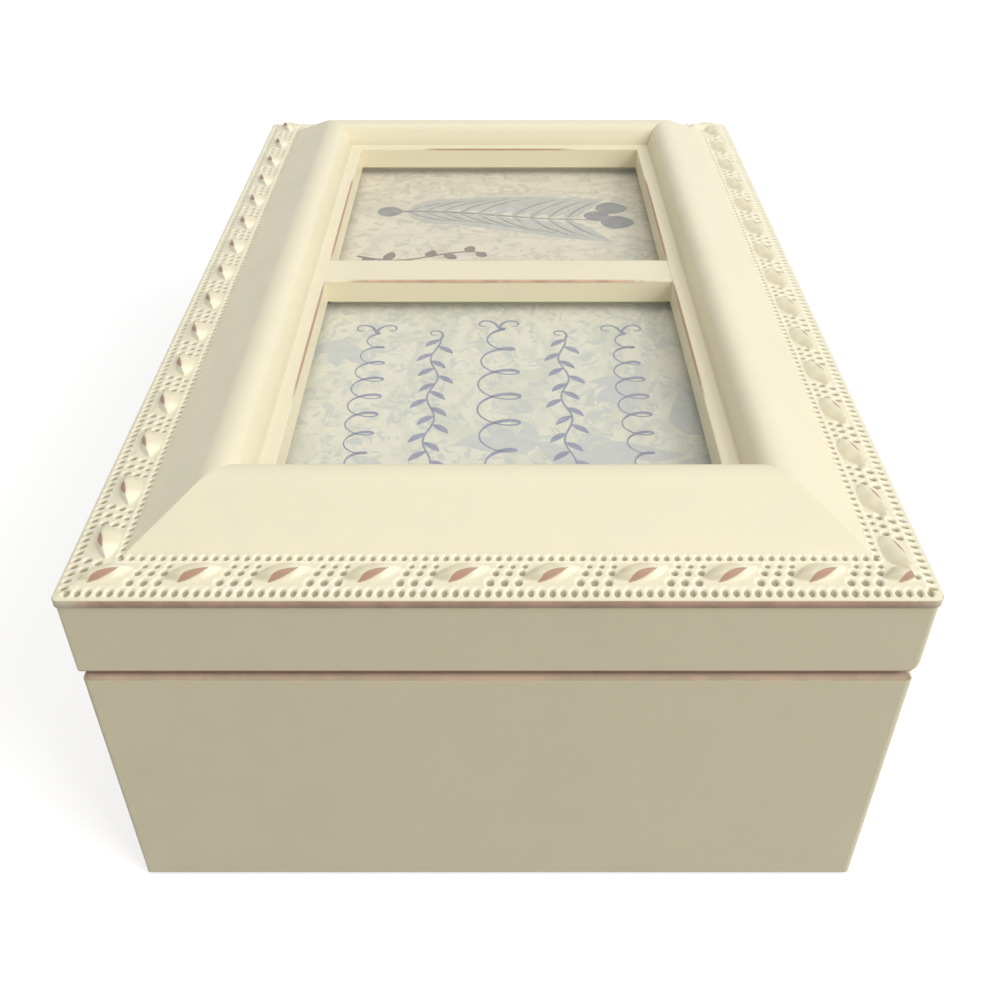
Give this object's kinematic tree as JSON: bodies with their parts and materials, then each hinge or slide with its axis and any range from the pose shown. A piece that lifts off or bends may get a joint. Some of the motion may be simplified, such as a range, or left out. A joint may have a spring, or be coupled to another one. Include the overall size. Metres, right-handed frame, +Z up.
{
  "type": "music box",
  "caption": "Rectangular keepsake music box with a hinged, framed lid holding two glazed windows, a lined compartment and a wind-up comb movement under a clear cover.",
  "frame": {"origin": "centre of the bottom, on the table top that the felt feet stand on", "axes": "+X along the length, with the divider bar halfway; +Y towards the hinges at the back; +Z up"},
  "size_m": [0.208, 0.1352, 0.0807],
  "materials": {
    "ivory_paint": "hand painted ivory over wood, rubbed through to rose brown on the edges",
    "floor_wood": "plain plywood",
    "velvet": "short pile velvet on card or foam",
    "batten_wood": "plain softwood",
    "felt": "felt",
    "window_glass": "clear float glass",
    "printed_card_left": "printed paper card, pale mottled ground with a grey sprig",
    "printed_card_right": "printed paper card, pale mottled ground with lavender grey scrolls",
    "clear_plastic": "clear acrylic sheet",
    "hinge_brass": "satin brass",
    "bed_casting": "brass plated zinc casting",
    "screw_steel": "turned steel",
    "comb_steel": "ground hardened steel",
    "barrel_steel": "nickel plated drawn steel",
    "spring_steel": "blued spring steel",
    "key_nickel": "nickel plated",
    "gear_brass": "machined brass",
    "frame_steel": "stamped steel",
    "worm_plastic": "white nylon",
    "rod_plastic": "ivory plastic"
  },
  "bodies": {
    "case": {"back_wall": "ivory_paint", "bedplate": "bed_casting", "comb": "comb_steel", "comb_screws": "screw_steel", "cover_battens": "batten_wood", "cylinder_bearing": "frame_steel", "felt_feet": "felt", "floor_board": "floor_wood", "floor_pad": "velvet", "front_wall": "ivory_paint", "governor_frame": "frame_steel", "hinge_case_leaf_left": "hinge_brass", "hinge_case_leaf_right": "hinge_brass", "hinge_case_screws": "hinge_brass", "hinge_pin_left": "hinge_brass", "hinge_pin_right": "hinge_brass", "left_wall": "ivory_paint", "lining_back": "velvet", "lining_front": "velvet", "lining_left": "velvet", "lining_right": "velvet", "mainspring": "spring_steel", "movement_cover": "clear_plastic", "movement_screws": "screw_steel", "partition_front": "velvet", "partition_side": "velvet", "right_wall": "ivory_paint", "spring_barrel": "barrel_steel", "stop_spring": "spring_steel"},
    "lid": {"glass_left": "window_glass", "glass_right": "window_glass", "hinge_lid_leaf_left": "hinge_brass", "hinge_lid_leaf_right": "hinge_brass", "hinge_lid_screws": "hinge_brass", "print_left": "printed_card_left", "print_right": "printed_card_right", "rail_back": "ivory_paint", "rail_front": "ivory_paint", "rail_left": "ivory_paint", "rail_right": "ivory_paint", "divider_bar": "ivory_paint", "backing_board": "floor_wood", "lid_lining": "velvet"},
    "winder": {"winding_key": "key_nickel", "winding_arbor": "screw_steel", "crown_wheel": "gear_brass"},
    "cylinder": {"pinned_cylinder": "gear_brass", "cylinder_arbor": "screw_steel", "cylinder_pinion": "gear_brass", "cylinder_wheel": "gear_brass"},
    "idler": {"idler_pinion": "screw_steel", "worm_wheel": "gear_brass"},
    "governor": {"governor_arbor": "screw_steel", "governor_worm": "worm_plastic", "air_brake": "worm_plastic"},
    "stop": {"stop_rod": "rod_plastic"}
  },
  "joints": [
    {"name": "lid_hinge", "type": "hinge", "parent": "case", "child": "lid", "pos_m": [0, 0.0653, 0.0559], "axis": [-1, 0, 0], "range_deg": [0, 95]},
    {"name": "stop_slide", "type": "slide", "parent": "case", "child": "stop", "axis": [0, 0, 1], "range_m": [0, 0.002], "deforming": ["stop_spring"]},
    {"name": "cylinder_spin", "type": "hinge", "parent": "case", "child": "cylinder", "pos_m": [-0.051, 0.0272, 0.03513], "axis": [1, 0, 0], "continuous": true},
    {"name": "key_turn", "type": "hinge", "parent": "case", "child": "winder", "pos_m": [-0.0761, 0.0272, 0], "axis": [0, 0, 1], "continuous": true},
    {"name": "idler_spin", "type": "hinge", "parent": "case", "child": "idler", "pos_m": [-0.0333, 0.0188, 0.03513], "axis": [1, 0, 0], "continuous": true},
    {"name": "governor_spin", "type": "hinge", "parent": "case", "child": "governor", "pos_m": [-0.0333, 0.0123, 0.03513], "axis": [0, 0, 1], "continuous": true}
  ],
  "couplings": [
    {"joint": "stop_slide", "follows": "lid_hinge", "m_per_rad": 0.0012062},
    {"joint": "key_turn", "follows": "cylinder_spin", "ratio": 0.33333},
    {"joint": "idler_spin", "follows": "cylinder_spin", "ratio": -5},
    {"joint": "governor_spin", "follows": "cylinder_spin", "ratio": -100}
  ]
}
